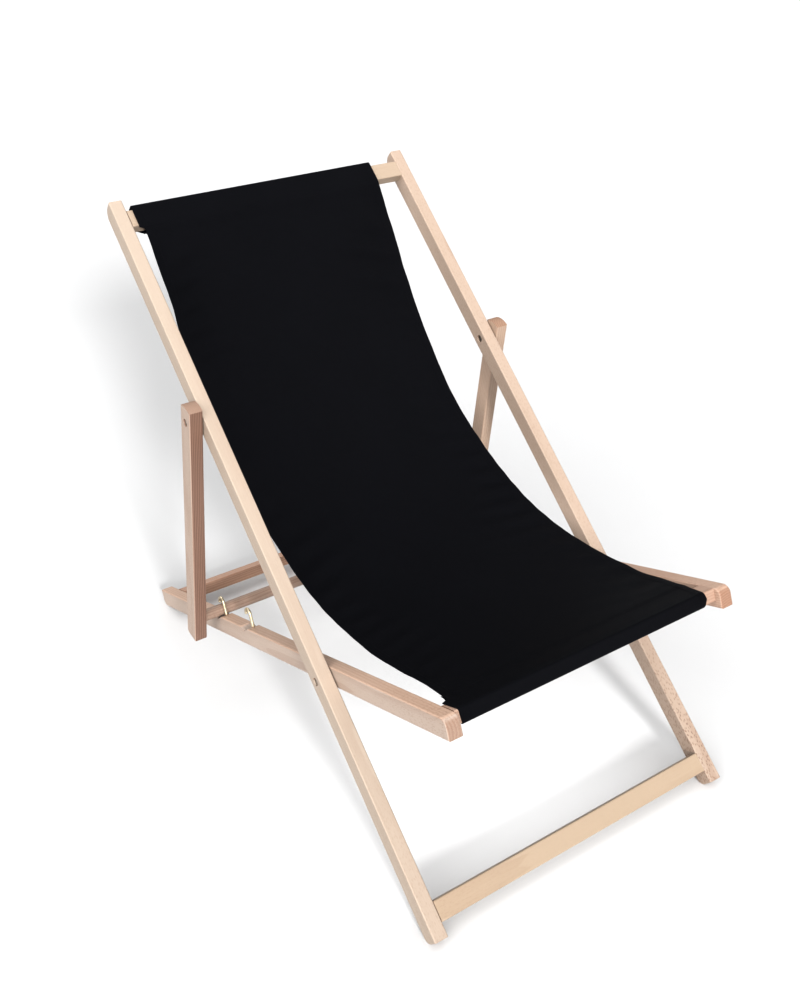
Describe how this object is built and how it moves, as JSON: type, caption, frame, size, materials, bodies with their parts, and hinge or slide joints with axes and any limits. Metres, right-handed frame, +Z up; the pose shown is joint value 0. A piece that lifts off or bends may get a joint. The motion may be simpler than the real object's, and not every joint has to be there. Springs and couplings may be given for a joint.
{
  "type": "deck chair",
  "caption": "Folding beech deck chair: long back frame, crossing seat frame with notched rails, swinging prop frame and a hanging dark canvas sling.",
  "frame": {"origin": "on the floor, under the middle of the standing chair's box", "axes": "+Z up, -Y the way the sitter faces, +X on the sitter's left"},
  "size_m": [0.594, 0.9464, 0.7999],
  "materials": {
    "beech": "planed and oiled, satin",
    "canvas": "close plain weave, matt",
    "brass_wire": "bright drawn wire",
    "dark_steel": "darkened, dull"
  },
  "bodies": {
    "back_frame": {"back_rail_left": "beech", "back_rail_right": "beech", "canvas_sling": "canvas", "canvas_top_hem": "canvas", "frame_pivot_screws": "dark_steel", "frame_pivot_sleeve_nuts": "dark_steel", "frame_pivot_washers": "dark_steel", "front_rung": "beech", "prop_pivot_screws": "dark_steel", "prop_pivot_sleeve_nuts": "dark_steel", "prop_pivot_washers": "dark_steel", "top_bar": "beech"},
    "seat_frame": {"canvas_front_hem": "canvas", "seat_front_bar": "beech", "seat_rail_left": "beech", "seat_rail_right": "beech", "seat_rear_bar": "beech", "stop_hooks_front": "brass_wire", "stop_hooks_rear": "brass_wire"},
    "prop_frame": {"prop_bar": "beech", "prop_leg_left": "beech", "prop_leg_right": "beech"}
  },
  "joints": [
    {"name": "seat_fold", "type": "hinge", "parent": "back_frame", "child": "seat_frame", "pos_m": [0, -0.16931, 0.25877], "axis": [1, 0, 0], "range_deg": [0, 55], "deforming": ["canvas_sling"]},
    {"name": "prop_swing", "type": "hinge", "parent": "back_frame", "child": "prop_frame", "pos_m": [0, 0.15734, 0.53994], "axis": [1, 0, 0], "range_deg": [0, 121]}
  ],
  "couplings": [
    {"joint": "prop_swing", "follows": "seat_fold", "ratio": 2.2}
  ]
}
